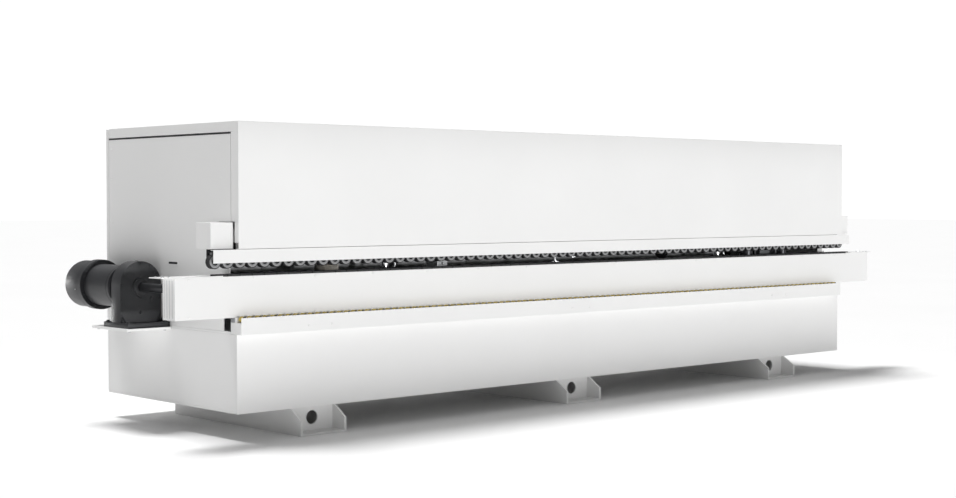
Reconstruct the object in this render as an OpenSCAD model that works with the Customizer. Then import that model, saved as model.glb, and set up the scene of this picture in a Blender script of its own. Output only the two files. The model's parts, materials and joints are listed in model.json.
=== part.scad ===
// Edge banding machine: a through-feed line on three channel feet.
// X runs along the feed, the operator stands on the -Y side, +Z is up.
// The origin is the centre of the bounding box's footprint, on the floor.

/* [Hood] */
// Length of the hood
hood_l = 5500; // [5400:10:5600]
// Depth of the hood, front to back
hood_d = 1400; // [1395:5:1420]
// Height of the hood's top above the floor
hood_top = 1718; // [1700:2:1760]
// Depth of the lid's folded edge
lid_edge = 56; // [50:2:60]
// Sheet thickness of the hood
hood_t = 3; // [2:0.5:3]

/* [Base] */
// Length of the base
base_l = 5480; // [5380:10:5500]
// Front face of the base, behind the hood's front plane
base_y0 = 21; // [20:1:24]
// Rear face of the base
base_y1 = 1392; // [1390:1:1394]
// Height of the base's top plate above the floor
base_top = 587; // [586:1:590]

/* [Feet] */
// Overall width of one channel foot
foot_w = 314; // [280:2:340]
// Height of a channel foot
foot_h = 145; // [140:1:150]
// Wall thickness of a channel foot
foot_t = 14; // [10:1:16]
// Distance between feet, centre to centre
foot_pitch = 2074; // [2000:2:2100]
// Radius of the lifting-bar hole in each foot
lift_hole_r = 38.5; // [30:0.5:40]
// Radius of a floor anchor hole
anchor_r = 9; // [7:0.5:11]

/* [Feed] */
// Working height: top of the chain pads
work_z = 900; // [899:1:902]
// Panel thickness the machine is set for
panel_t = 29; // [24:1:32]
// Length of one chain pad
pad_l = 76; // [70:1:77]
// Pitch of the chain pads
pad_pitch = 80; // [80:1:81]
// Radius of a chain sprocket
sprocket_r = 66.7; // [64:0.1:66.7]

/* [Pressure beam] */
// Radius of a pressure wheel
wheel_r = 38; // [36:0.5:39]
// Width of a pressure wheel
wheel_w = 38; // [34:1:38]
// Pitch of the pressure wheels
wheel_pitch = 79.5; // [79.4:0.1:80]
// Number of pressure wheels
wheel_n = 72; // [68:1:72]

/* [Drive] */
// Radius of the motor's ribbed body
motor_r = 120; // [112:1:124]
// Radius of the motor's rear end shield
shield_r = 145; // [140:1:146]
// Radius of the motor's fan cowl
cowl_r = 136; // [130:1:138]

/* [Support rail] */
// Pitch of the support rail's rollers
rail_pitch = 50; // [45:1:60]
// Radius of a support rail roller
rail_roller_r = 16; // [12:0.5:16]

/* [Hidden] */
$fn = 48;

// footprint centre in the construction frame, where x = 0 is the hood's left end and y = 0 its front plane
plate_x0 = -464;
plate_x1 = hood_l + 425;
spigot_y1 = hood_d + 60;
foot_y0 = -73;
foot_y1 = 1215;
ox = (plate_x0 + plate_x1) / 2;
oy = (foot_y0 + spigot_y1) / 2;
foot_x = [507, 507 + foot_pitch, 507 + 2 * foot_pitch];
top_t = 14;              // base top plate
cab_z0 = foot_h + 12;    // inside floor of the base
cab_z1 = base_top - top_t;
bay_x = [1000, 1900];    // left service bay, mirrored to the right
hinge_y = base_y1 + 7;
beam_x0 = -382;          // feed beam
beam_x1 = hood_l + 377;
beam_z0 = 666;
beam_z1 = work_z - 12;
beam_y1 = 141;
chain_y = [42, 60];
drive_x = -133.5;        // drive axis
drive_z = 805;
idler_x = drive_x + 72 * 80;
chain_r = work_z - 16 - drive_z;
wheel_x0 = -127;
wheel_z = work_z + panel_t + wheel_r;
wheel_y0 = 33;
carrier_y = 75;
guard_z0 = 960;
pb_z = [1070, 1140];     // pressure beam
pb_y = [60, 180];
column_x = [1200, 4300];
column_y = 245;
unit_y = [560, 700];     // unit beam
unit_z = [880, 1020];
lid_hinge = [1385, 1702];
lid_hinges = [300, 1900, 3600, 5200];
rail_y = [-46, 18];
rail_z = [575, 667];
tray = [4900, 630];
white = [0.95, 0.95, 0.94];
dark = [0.22, 0.23, 0.24];
grey = [0.55, 0.56, 0.57];
steel = [0.72, 0.73, 0.75];

// --- helpers -------------------------------------------------------------
module bx(x, y, z) translate([x[0], y[0], z[0]]) cube([x[1] - x[0], y[1] - y[0], z[1] - z[0]]);
module rod_x(x, y, z, r) translate([x[0], y, z]) rotate([0, 90, 0]) cylinder(h = x[1] - x[0], r = r);
module rod_y(x, y, z, r) translate([x, y[0], z]) rotate([-90, 0, 0]) cylinder(h = y[1] - y[0], r = r);
module rod_z(x, y, z, r) translate([x, y, z[0]]) cylinder(h = z[1] - z[0], r = r);
// outline given as [y, z] points, extruded along X
module along_x(x, pts) translate([x[0], 0, 0]) rotate([90, 0, 90]) linear_extrude(x[1] - x[0]) polygon(pts);
// outline given as [x, z] points, extruded along Y
module along_y(y, pts) translate([0, y[1], 0]) rotate([90, 0, 0]) linear_extrude(y[1] - y[0]) polygon(pts);
module flip() translate([base_l, 0, 0]) mirror([1, 0, 0]) children();
// toothed disc outline: n teeth between a root and a tip radius
module gear_y(x, y, z, n, rr, rt) translate([x, y[1], z]) rotate([90, 0, 0]) linear_extrude(y[1] - y[0])
  polygon([for (i = [0 : 4 * n - 1]) let (a = 360 * i / (4 * n), r = (i % 4) < 2 ? rt : rr) [r * cos(a), r * sin(a)]]);
module at() translate([-ox, -oy, 0]) children();

// --- feet ----------------------------------------------------------------
module foot(x) color(white) at() difference() {
  union() {
    bx([x - foot_w / 2, x + foot_w / 2], [foot_y0, foot_y1], [0, 12]);
    for (s = [-foot_w / 2, foot_w / 2 - foot_t])
      along_x([x + s, x + s + foot_t], [[foot_y0, 0], [foot_y1, 0], [foot_y1, foot_h], [base_y0, foot_h], [foot_y0, 84]]);
    bx([x - foot_w / 2 + 1, x + foot_w / 2 - 1], [38, 50], [1, foot_h]);
  }
  rod_y(x, [30, 60], 84, lift_hole_r);
  for (s = [-90, 90]) for (y = [-42, 1185]) rod_z(x + s, y, [-1, 13], anchor_r);
}
module foot_left() foot(foot_x[0]);
module foot_middle() foot(foot_x[1]);
module foot_right() foot(foot_x[2]);

// --- base ----------------------------------------------------------------
module base_front_panel() color(white) at() bx([0, base_l], [base_y0, base_y0 + 8], [foot_h, cab_z1]);
module base_end_plates() color(white) at() {
  bx([0, 8], [base_y0 + 8, base_y1 - 8], [cab_z0, cab_z1]);
  bx([base_l - 8, base_l], [base_y0 + 8, base_y1 - 8], [cab_z0, cab_z1]);
}
module base_bottom_plate() color(white) at() bx([0, base_l], [base_y0 + 8, base_y1], [foot_h, cab_z0]);
module base_top_plate() color(white) at() bx([0, base_l], [base_y0, base_y1], [cab_z1, base_top]);
module base_bulkheads() color(white) at() {
  for (x = [bay_x[0] - 40, bay_x[1] + 30]) {
    bx([x, x + 10], [base_y0 + 8, base_y1 - 8], [cab_z0, cab_z1]);
    flip() bx([x, x + 10], [base_y0 + 8, base_y1 - 8], [cab_z0, cab_z1]);
  }
}
module door_pin(z) {
  rod_z(bay_x[0], hinge_y, [z, z + 30], 7);
  bx([bay_x[0] - 25, bay_x[0]], [base_y1 - 1, base_y1 + 4], [z, z + 30]);
  rod_z(bay_x[0], hinge_y, [z + 29, z + 58], 4);
}
module rear_panel_end() {
  bx([0, bay_x[0]], [base_y1 - 8, base_y1], [cab_z0, cab_z1]);
  door_pin(cab_z0 + 13);
  door_pin(cab_z1 - 103);
}
module base_rear_panels() color(white) at() {
  rear_panel_end();
  flip() rear_panel_end();
  bx([bay_x[1], base_l - bay_x[1]], [base_y1 - 8, base_y1], [cab_z0, cab_z1]);
}
module door_sleeve(z) difference() {
  union() {
    rod_z(bay_x[0], hinge_y, [z, z + 30], 7);
    bx([bay_x[0], bay_x[0] + 25], [base_y1 - 1, base_y1 + 4], [z, z + 30]);
  }
  rod_z(bay_x[0], hinge_y, [z - 1, z + 31], 4.05);
  bx([bay_x[0] - 8, bay_x[0] + 3], [base_y1 - 2, base_y1], [z - 1, z + 31]);
}
module rear_door() {
  bx([bay_x[0] + 3, bay_x[1] - 3], [base_y1 - 8, base_y1], [cab_z0 + 3, cab_z1 - 3]);
  door_sleeve(cab_z0 + 43.5);
  door_sleeve(cab_z1 - 72.5);
  rod_y(bay_x[1] - 45, [base_y1 - 1, base_y1 + 10], (cab_z0 + cab_z1) / 2, 15);
}
module rear_door_left() color(white) at() rear_door();
module rear_door_right() color(white) at() flip() rear_door();

// --- feed beam and chain ---------------------------------------------------
module feed_beam() color(grey) at() difference() {
  union() {
    bx([beam_x0 + 3, beam_x1 - 3], [78, beam_y1], [beam_z0, beam_z1]);
    bx([beam_x0 + 3, beam_x1 - 3], [base_y0 + 4, 79], [beam_z0, beam_z0 + 6]);
    for (x = [100, 1500, 3700, 5300]) bx([x - 60, x + 60], [40, beam_y1], [base_top, beam_z0 + 1]);
  }
  bx([beam_x0, beam_x1], [84, beam_y1 - 6], [beam_z0 + 6, beam_z1 - 6]);
  rod_y(drive_x, [70, 150], drive_z, 25.05);
  rod_y(idler_x, [70, 150], drive_z, 25.05);
}
module feed_cover() color(white) at() {
  bx([beam_x0, beam_x1], [base_y0, base_y0 + 4], [beam_z0, beam_z1]);
  bx([beam_x0, beam_x0 + 3], [base_y0 + 1, beam_y1], [beam_z0, beam_z1]);
  bx([beam_x1 - 3, beam_x1], [base_y0 + 1, beam_y1], [beam_z0, beam_z1]);
}
module chain_pads() color(dark) at() for (i = [0 : 71]) let (x = drive_x + 40 + i * pad_pitch)
  bx([x - pad_l / 2, x + pad_l / 2], [28, 74], [work_z - 16, work_z]);
module strand(r, y) {
  bx([drive_x, idler_x], y, [drive_z - r, drive_z + r]);
  rod_y(drive_x, y, drive_z, r);
  rod_y(idler_x, y, drive_z, r);
}
module drive_chain() color(dark) at() difference() {
  strand(chain_r, chain_y);
  strand(chain_r - 12, [chain_y[0] - 1, chain_y[1] + 1]);
}
module end_plate(x, slot) difference() {
  bx(x, [base_y0, beam_y1], [beam_z1, beam_z1 + 5]);
  bx(slot, [26, 76], [beam_z1 - 1, beam_z1 + 6]);
}
module end_plates() color(white) at() {
  end_plate([plate_x0, -85], [drive_x - 98, -84]);
  end_plate([hood_l + 85, plate_x1], [hood_l + 84, idler_x + 98]);
}
module idler_wheel() color(steel) at() {
  gear_y(idler_x, [46, 56], drive_z, 22, sprocket_r - 9, sprocket_r);
  rod_y(idler_x, [40, 64], drive_z, 38);
  rod_y(idler_x, [34, 150], drive_z, 25);
}

// --- drive -----------------------------------------------------------------
module motor_bracket() color(white) at() bx([-282, 0], [677, 1075], [565, 579]);
gb_c = 819.5;            // centre of the housing's arch
gb_r = 130.5;
counter_z = drive_z - 100;
motor_x = drive_x - 15;    // motor axis, 100 from the countershaft
motor_z = counter_z + sqrt(pow(100, 2) - pow(15, 2));
module arch(y, r, z0) {
  bx([drive_x - r, drive_x + r], y, [z0, gb_c]);
  rod_y(drive_x, y, gb_c, r);
}
module gearbox_housing() color(dark) at() difference() {
  union() {
    bx([drive_x - 135, drive_x + 130.5], [692, 962], [579, 607]);
    arch([784, 884], gb_r, 600);
    rod_y(drive_x, [770, 790], drive_z, 55);
  }
  arch([794, 874], gb_r - 12, 616);
  rod_y(drive_x, [760, 800], drive_z, 25.05);
  rod_y(motor_x, [868, 890], motor_z, 19.05);
  rod_y(drive_x, [788, 880], counter_z, 10.05);
}
module drive_shaft() color(steel) at() {
  gear_y(drive_x, [46, 56], drive_z, 22, sprocket_r - 9, sprocket_r);
  rod_y(drive_x, [40, 64], drive_z, 38);
  rod_y(drive_x, [34, 818], drive_z, 25);
  gear_y(drive_x, [798, 818], drive_z, 80, 81, 84.5);
}
module countershaft() color(steel) at() {
  rod_y(drive_x, [789, 879], counter_z, 10);
  gear_y(drive_x, [797, 819], counter_z, 14, 12, 15);
  gear_y(drive_x, [836, 856], counter_z, 80, 81, 84.5);
}
module motor_rotor() color(steel) at() {
  gear_y(motor_x, [835, 857], motor_z, 14, 12, 15);
  rod_y(motor_x, [856, 905], motor_z, 14);
  rod_y(motor_x, [862, 905], motor_z, 19);
  rod_y(motor_x, [904, 1140], motor_z, 69);
  rod_y(motor_x, [1139, 1315], motor_z, 19);
  rod_y(motor_x, [1270, 1315], motor_z, 45);
  for (a = [0 : 45 : 315]) translate([motor_x, 0, motor_z]) rotate([0, a, 0]) bx([40, 120], [1275, 1311], [-2, 2]);
}
module motor_body() color(dark) at() difference() {
  union() {
    rod_y(motor_x, [884, 917], motor_z, 90);
    rod_y(motor_x, [916, 1191], motor_z, motor_r);
    rod_y(motor_x, [1190, 1250], motor_z, shield_r);
  }
  rod_y(motor_x, [870, 1260], motor_z, 19.05);
  rod_y(motor_x, [898, 1150], motor_z, 70);
}
module fan_cowl() color(dark) at() difference() {
  rod_y(motor_x, [1250, 1395], motor_z, cowl_r);
  rod_y(motor_x, [1240, 1391], motor_z, cowl_r - 4);
  for (a = [0 : 60 : 300]) translate([motor_x, 0, motor_z]) rotate([0, a, 0]) bx([35, 110], [1385, 1400], [-8, 8]);
}

// --- frame inside the hood ---------------------------------------------------
module unit_beam() color(grey) at() {
  difference() {
    union() {
      bx([30, hood_l - 30], unit_y, unit_z);
      for (x = [200, 1700, 3700, 5300]) bx([x - 60, x + 60], unit_y, [base_top, unit_z[0] + 1]);
      // rail of the end-trim saw
      bx([3350, 3950], [300, 340], [950, 990]);
      for (x = [3360, 3900]) bx([x, x + 40], [339, unit_y[0] + 1], [950, 990]);
      // post of the tape tray
      rod_z(tray[0], tray[1], [unit_z[1] - 1, 1226], 30);
      rod_z(tray[0], tray[1], [1225, 1262], 12);
    }
    bx([20, hood_l - 20], [unit_y[0] + 8, unit_y[1] - 8], [unit_z[0] + 8, unit_z[1] - 8]);
  }
}
module lift_columns() color(steel) at() for (x = column_x) rod_z(x, column_y, [base_top, 1450], 25);
module lift_screw(x) color(steel) at() {
  rod_z(x + 75, column_y, [base_top + 0.5, 1500], 10);
  rod_z(x + 75, column_y, [1465, 1480], 42);
}
module lift_screw_left() lift_screw(column_x[0]);
module lift_screw_right() lift_screw(column_x[1]);

// --- hood ------------------------------------------------------------------
end_z0 = beam_z1 + 2;
function end_outline(notch) = [[146, base_top], [1369, base_top], [1369, hood_top - lid_edge - 11], [75, hood_top - lid_edge - 11],
  [75, 1178], [194, 1178], [194, 1045], [notch, 1045], [notch, end_z0], [146, end_z0]];
function end_outline_deep(notch) = [[146, base_top], [1369, base_top], [1369, hood_top - lid_edge - 11], [75, hood_top - lid_edge - 11],
  [75, 1178], [194, 1178], [194, 1045], [notch, 1045], [notch, end_z0 - 10], [146, end_z0 - 10]];
module hood_end_left() color(white) at() along_x([0, 4], end_outline(87));
module hood_end_right() color(white) at() difference() {
  union() {
    along_x([hood_l - 4, hood_l], end_outline_deep(179));
    bx([hood_l - 60, hood_l - 3], [179, 182], [end_z0, 1045]);
  }
  rod_x([hood_l - 6, hood_l + 1], 600, 1300, 8.05);
  rod_x([hood_l - 6, hood_l + 1], 750, 1300, 6.05);
}
module spigot(x) difference() {
  union() {
    rod_y(x, [hood_d + 0.3, spigot_y1], 1300, 80);
    rod_y(x, [hood_d - 4, hood_d + 1], 1300, 79);
  }
  rod_y(x, [hood_d - 9, spigot_y1 + 1], 1300, 77);
}
module hood_rear_panel() color(white) at() {
  difference() {
    union() {
      bx([0, hood_l], [hood_d - 4, hood_d], [base_top, hood_top - 4]);
      for (x = [0, hood_l - 4]) bx([x, x + 4], [1372, hood_d - 3], [base_top, hood_top - 4]);
      for (x = lid_hinges) {
        for (s = [-29, 21]) bx([x + s, x + s + 8], [lid_hinge[0] - 7, hood_d - 3], [lid_hinge[1] - 9, lid_hinge[1] + 9]);
        rod_x([x - 28, x + 28], lid_hinge[0], lid_hinge[1], 6);
      }
    }
    for (x = [1800, 3900]) rod_y(x, [hood_d - 9, hood_d + 9], 1300, 79.3);
  }
  for (x = [1800, 3900]) spigot(x);
}
module lid_top_panel() color(white) at() difference() {
  union() {
    bx([0, hood_l], [0, 1366], [hood_top - hood_t, hood_top]);
    for (x = [0, hood_l - hood_t]) bx([x, x + hood_t], [hood_t, 1366], [hood_top - lid_edge, hood_top - 1]);
    bx([0, hood_l], [1366 - hood_t, 1366], [hood_top - lid_edge, hood_top - 1]);
    for (x = lid_hinges) {
      bx([x - 20, x + 20], [1364, lid_hinge[0]], [lid_hinge[1] - 6, lid_hinge[1] + 6]);
      rod_x([x - 20, x + 20], lid_hinge[0], lid_hinge[1], 10);
    }
  }
  for (x = lid_hinges) rod_x([x - 25, x + 25], lid_hinge[0], lid_hinge[1], 6.05);
}
module lid_front_panel() color(white) at() {
  bx([0, hood_l], [0, hood_t], [1034, hood_top - hood_t]);
  bx([0, hood_l], [hood_t - 1, 38], [1066, 1069]);
  for (x = [0, hood_l - hood_t]) {
    bx([x, x + hood_t], [hood_t - 1, 38], [1066, hood_top - lid_edge]);
    bx([x, x + hood_t], [37, 72], [1180, hood_top - lid_edge]);
  }
}

// --- pressure beam -----------------------------------------------------------
module pressure_beam() color(white) at() difference() {
  union() {
    bx([-142, hood_l + 142], pb_y, pb_z);
    for (x = column_x) bx([x - 120, x + 120], [pb_y[1] - 1, 300], [1080, 1130]);
  }
  bx([-143, hood_l + 143], [pb_y[0] + 6, pb_y[1] - 6], [pb_z[0] + 6, pb_z[1] - 6]);
  for (x = column_x) {
    rod_z(x, column_y, [1079, 1131], 25.05);
    rod_z(x + 75, column_y, [1079, 1131], 10.05);
  }
}
module end_cover() difference() {
  bx([-145, -4], [48, 188], [1035, 1175]);
  bx([-142, 0], [51, 185], [1038, 1172]);
}
module beam_end_covers() color(white) at() {
  end_cover();
  translate([hood_l, 0, 0]) mirror([1, 0, 0]) end_cover();
}
module wheel_guard() color(white) at() {
  bx([-156, hood_l + 103], [4, 7], [guard_z0, 1031]);
  bx([-156, hood_l + 103], [6, 31], [1028, 1031]);
  bx([25, hood_l - 25], [30, 66], [1028, 1031]);
  bx([25, hood_l - 25], [60, 66], [1030, pb_z[0]]);
}
module wheel_carrier() color(dark) at() along_y([carrier_y, carrier_y + 8],
  [[-150, 948], [hood_l + 45, 948], [hood_l + 45, 1033], [hood_l - 25, 1033], [hood_l - 25, pb_z[0]], [25, pb_z[0]], [25, 1033], [-150, 1033]]);
module wheel_axles() color(steel) at() for (i = [0 : wheel_n - 1]) let (x = wheel_x0 + i * wheel_pitch) {
  rod_y(x, [wheel_y0 + 3, carrier_y], wheel_z, 6);
  rod_y(x, [wheel_y0 + wheel_w + 0.5, carrier_y], wheel_z, 12);
}
module wheel(i) let (x = wheel_x0 + i * wheel_pitch) difference() {
  rod_y(x, [wheel_y0, wheel_y0 + wheel_w], wheel_z, wheel_r);
  rod_y(x, [wheel_y0 - 1, wheel_y0 + wheel_w + 1], wheel_z, 6.05);
  rod_y(x, [wheel_y0 - 1, wheel_y0 + 5], wheel_z, 17);
}
module pressure_wheels() color(dark) at() for (i = [1 : wheel_n - 1]) wheel(i);
module outfeed_wheel() color(dark) at() wheel(0);

// --- support rail --------------------------------------------------------------
module support_rail() color(white) at() difference() {
  along_x([-15, 5420], [[rail_y[0], rail_z[0]], [rail_y[1], rail_z[0]], [rail_y[1], rail_z[1]], [-6, rail_z[1]],
    [-6, 638], [-43, 638], [-43, rail_z[1]], [rail_y[0], rail_z[1]]]);
  bx([-16, 5421], [-42, 14], [579, 634]);
}
module rail_rollers() color([0.85, 0.68, 0.1]) at() for (i = [0 : floor(5390 / rail_pitch)]) let (x = 8 + i * rail_pitch) {
  rod_y(x, [-42, -8], rail_z[1] + 8 - rail_roller_r, rail_roller_r);
  rod_y(x, [-9, -6], rail_z[1] + 8 - rail_roller_r, 5);
}
module rail_arms() color(grey) at() for (x = foot_x) bx([x - 20, x + 20], [rail_y[1], 620], [600, 640]);
module rail_sleeves() color(grey) at() for (x = foot_x) difference() {
  bx([x - 33, x + 33], [60, 400], [base_top, 653]);
  bx([x - 20.3, x + 20.3], [59, 401], [599.7, 640.3]);
}

// --- working units ---------------------------------------------------------------
module glue_pot() color(grey) at() difference() {
  union() {
    bx([4750, 5050], [200, 480], [760, 1000]);
    bx([4860, 4940], [95, 201], [972, 990]);
    bx([4860, 4940], [479, unit_y[0]], [900, 940]);
  }
  bx([4765, 5035], [215, 465], [775, 1001]);
  rod_z(4900, 120, [970, 992], 10.05);
}
module glue_roller() color(steel) at() {
  rod_z(4900, 120, [893, 963], 35);
  rod_z(4900, 120, [962, 1006], 10);
  rod_z(4900, 120, [990.5, 1000], 16);
}
module press_unit() color(grey) at() difference() {
  bx([4460, 4540], [100, unit_y[0]], [970, 990]);
  rod_z(4500, 136, [969, 991], 10.05);
}
module press_roller() color(steel) at() {
  rod_z(4500, 136, [893, 953], 50);
  rod_z(4500, 136, [952, 1006], 10);
  rod_z(4500, 136, [990.5, 1000], 16);
}
module tape_tray() color([0.85, 0.8, 0.7]) at() difference() {
  union() {
    rod_z(tray[0], tray[1], [1240, 1246], 350);
    rod_z(tray[0], tray[1], [1226.5, 1290], 25);
    difference() {
      rod_z(tray[0], tray[1], [1245, 1290], 300);
      rod_z(tray[0], tray[1], [1246, 1291], 120);
    }
  }
  rod_z(tray[0], tray[1], [1220, 1300], 12.05);
}
module end_trim_motor() color(dark) at() difference() {
  union() {
    rod_x([3600, 3760], 160, 967, 45);
    bx([3600, 3760], [190, 299.5], [940, 1000]);
    bx([3600, 3760], [299, 345], [991, 999]);
    bx([3600, 3760], [299, 345], [941, 949]);
  }
  rod_x([3599, 3615], 160, 967, 8.05);
}
module saw_blade() color(steel) at() {
  gear_blade();
  rod_x([3584, 3614], 160, 967, 8);
}
module gear_blade() translate([3590, 160, 967]) rotate([90, 0, 90]) linear_extrude(4)
  polygon([for (i = [0 : 119]) let (a = 3 * i, r = (i % 2) ? 75 : 70) [r * cos(a), r * sin(a)]]);
module trim_motors() color(dark) at() for (x = [2500, 2650]) difference() {
  union() {
    rod_z(x, 112, [950, 1040], 27);
    bx([x - 20, x + 20], [130, unit_y[0]], [990, 1020]);
  }
  rod_z(x, 112, [949, 980], 6.05);
}
module trim_cutter_upper() color(steel) at() {
  rod_z(2650, 112, [925, 937], 26);
  rod_z(2650, 112, [936, 979], 6);
}
module trim_cutter_lower() color(steel) at() {
  rod_z(2500, 112, [891, 903], 26);
  rod_z(2500, 112, [902, 979], 6);
}
module scraper_unit() color(grey) at() {
  bx([1480, 1560], [90, 200], [895, 1035]);
  bx([1500, 1540], [199, unit_y[0]], [960, 1000]);
}
module buffing_motor() color(dark) at() difference() {
  union() {
    rod_z(700, 155, [968, 1040], 50);
    bx([680, 720], [190, unit_y[0]], [985, 1015]);
  }
  rod_z(700, 155, [967, 990], 8.05);
}
module buffing_wheel() color([0.9, 0.85, 0.75]) at() {
  rod_z(700, 155, [895, 960], 69);
  rod_z(700, 155, [959, 989], 8);
}

// --- controls at the infeed end --------------------------------------------------
module emergency_stop() color([0.8, 0.1, 0.1]) at() {
  rod_x([hood_l + 8, hood_l + 22], 600, 1300, 20);
  rod_x([hood_l - 10, hood_l + 9], 600, 1300, 8);
}
module main_switch() color([0.8, 0.1, 0.1]) at() {
  rod_x([hood_l + 0.5, hood_l + 10], 750, 1300, 30);
  bx([hood_l + 9, hood_l + 24], [742, 758], [1272, 1328]);
  rod_x([hood_l - 10, hood_l + 1], 750, 1300, 6);
}

// --- fasteners -------------------------------------------------------------------
module hex_z(x, y, z, r, h) translate([x, y, z]) cylinder(h = h, r = r, $fn = 6);
module bolts() color(steel) at() {
  for (x = [drive_x - 120, drive_x + 115]) for (y = [715, 940]) hex_z(x, y, 607, 11, 9);
  for (x = [-440, -400, 5860, 5900]) for (y = [50, 115]) hex_z(x, y, beam_z1 + 5, 8, 4);
  for (x = foot_x) for (y = [80, 380]) hex_z(x, y, 653, 8, 6);
}

foot_left();
foot_middle();
foot_right();
base_front_panel();
base_end_plates();
base_bottom_plate();
base_top_plate();
base_bulkheads();
base_rear_panels();
feed_beam();
feed_cover();
chain_pads();
drive_chain();
end_plates();
motor_bracket();
gearbox_housing();
motor_body();
fan_cowl();
unit_beam();
lift_columns();
hood_end_left();
hood_end_right();
hood_rear_panel();
rail_sleeves();
glue_pot();
press_unit();
trim_motors();
scraper_unit();
buffing_motor();
bolts();
lid_front_panel();
lid_top_panel();
pressure_beam();
beam_end_covers();
wheel_guard();
wheel_carrier();
wheel_axles();
pressure_wheels();
outfeed_wheel();
lift_screw_left();
lift_screw_right();
drive_shaft();
countershaft();
motor_rotor();
idler_wheel();
support_rail();
rail_rollers();
rail_arms();
rear_door_left();
rear_door_right();
main_switch();
emergency_stop();
tape_tray();
glue_roller();
press_roller();
end_trim_motor();
saw_blade();
trim_cutter_upper();
trim_cutter_lower();
buffing_wheel();
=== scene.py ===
import bpy, bmesh, json, math, random
from mathutils import Matrix, Vector


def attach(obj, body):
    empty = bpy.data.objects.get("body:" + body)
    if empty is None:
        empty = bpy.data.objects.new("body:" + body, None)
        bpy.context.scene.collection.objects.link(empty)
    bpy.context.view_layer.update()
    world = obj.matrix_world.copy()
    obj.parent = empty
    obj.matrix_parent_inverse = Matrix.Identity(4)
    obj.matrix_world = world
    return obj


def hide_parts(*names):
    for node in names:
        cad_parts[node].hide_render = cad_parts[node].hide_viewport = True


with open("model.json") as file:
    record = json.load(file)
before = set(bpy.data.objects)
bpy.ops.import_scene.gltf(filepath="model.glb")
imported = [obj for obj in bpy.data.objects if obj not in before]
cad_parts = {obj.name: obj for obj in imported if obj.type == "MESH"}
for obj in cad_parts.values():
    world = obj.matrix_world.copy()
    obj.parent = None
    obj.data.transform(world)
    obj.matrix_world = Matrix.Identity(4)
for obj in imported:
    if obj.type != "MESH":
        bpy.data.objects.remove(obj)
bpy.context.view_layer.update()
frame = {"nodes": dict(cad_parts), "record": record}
nodes = frame["nodes"]
random.seed(7)
OX, OY = 2730.5, 693.5


def P(x, y, z):
    """Construction millimetres to metres in the row frame."""
    return ((x - OX) / 1000, (y - OY) / 1000, z / 1000)


# ---------------------------------------------------------------- materials
def shader(name):
    m = bpy.data.materials.new(name)
    m.use_nodes = True
    nt = m.node_tree
    return m, nt, nt.nodes["Principled BSDF"]


def finish_mat(name, col, rough=0.45, metal=0.0, var=0.04, vscale=3.0, fine=260.0, bump=0.02, bdist=0.0004,
               rvar=0.08, coat=0.0, stretch=None, floor_shade=0.0, sheen=0.0, spec=0.5, groove=None):
    """Procedural finish: broad tone drift, fine surface grain as bump, roughness that varies, and painted shade
    darkening the colour near the floor.
    """
    m, nt, b = shader(name)
    N, L = nt.nodes, nt.links
    tc = N.new("ShaderNodeTexCoord")
    src = tc.outputs["Object"]
    if stretch:
        mp = N.new("ShaderNodeMapping")
        mp.inputs["Scale"].default_value = stretch
        L.new(src, mp.inputs["Vector"])
        src = mp.outputs["Vector"]
    n1 = N.new("ShaderNodeTexNoise"); n1.inputs["Scale"].default_value = vscale; n1.inputs["Detail"].default_value = 5
    L.new(tc.outputs["Object"], n1.inputs["Vector"])
    cr = N.new("ShaderNodeValToRGB")
    cr.color_ramp.elements[0].position, cr.color_ramp.elements[1].position = 0.3, 0.7
    cr.color_ramp.elements[0].color = (*[c * (1 - var) for c in col], 1)
    cr.color_ramp.elements[1].color = (*[min(1, c * (1 + var)) for c in col], 1)
    L.new(n1.outputs["Fac"], cr.inputs["Fac"])
    out = cr.outputs["Color"]
    # painted shade: the colour is blended towards 0.62 of itself, strongest at the floor and fading out by 0.16 m up
    if floor_shade:
        sx = N.new("ShaderNodeSeparateXYZ"); L.new(tc.outputs["Object"], sx.inputs[0])
        mr = N.new("ShaderNodeMapRange"); mr.inputs[1].default_value = 0.0; mr.inputs[2].default_value = 0.16
        mr.inputs[3].default_value = floor_shade; mr.inputs[4].default_value = 0.0
        L.new(sx.outputs["Z"], mr.inputs[0])
        mx = N.new("ShaderNodeMix"); mx.data_type = "RGBA"
        L.new(mr.outputs[0], mx.inputs["Factor"]); L.new(out, mx.inputs[6])
        mx.inputs[7].default_value = (*[c * 0.62 for c in col], 1)
        out = mx.outputs[2]
    L.new(out, b.inputs["Base Color"])
    n2 = N.new("ShaderNodeTexNoise"); n2.inputs["Scale"].default_value = fine; n2.inputs["Detail"].default_value = 3
    L.new(src, n2.inputs["Vector"])
    rr = N.new("ShaderNodeMapRange")
    rr.inputs[3].default_value = max(0.03, rough - rvar); rr.inputs[4].default_value = min(1, rough + rvar)
    L.new(n1.outputs["Fac"], rr.inputs[0]); L.new(rr.outputs[0], b.inputs["Roughness"])
    bp = N.new("ShaderNodeBump"); bp.inputs["Strength"].default_value = min(1, bump * 10); bp.inputs["Distance"].default_value = bdist
    h = n2.outputs["Fac"]
    if groove:
        w = N.new("ShaderNodeTexWave"); w.wave_type = "BANDS"; w.bands_direction = groove[0]
        w.inputs["Scale"].default_value = groove[1]; w.inputs["Distortion"].default_value = groove[2]
        L.new(tc.outputs["Object"], w.inputs["Vector"])
        ad = N.new("ShaderNodeMath"); ad.operation = "ADD"
        L.new(h, ad.inputs[0]); L.new(w.outputs["Fac"], ad.inputs[1]); h = ad.outputs[0]
    L.new(h, bp.inputs["Height"]); L.new(bp.outputs["Normal"], b.inputs["Normal"])
    b.inputs["Metallic"].default_value = metal
    b.inputs["Specular IOR Level"].default_value = spec
    if coat:
        b.inputs["Coat Weight"].default_value = coat
        b.inputs["Coat Roughness"].default_value = 0.2
    if sheen:
        b.inputs["Sheen Weight"].default_value = sheen
        b.inputs["Sheen Roughness"].default_value = 0.5
    return m


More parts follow.
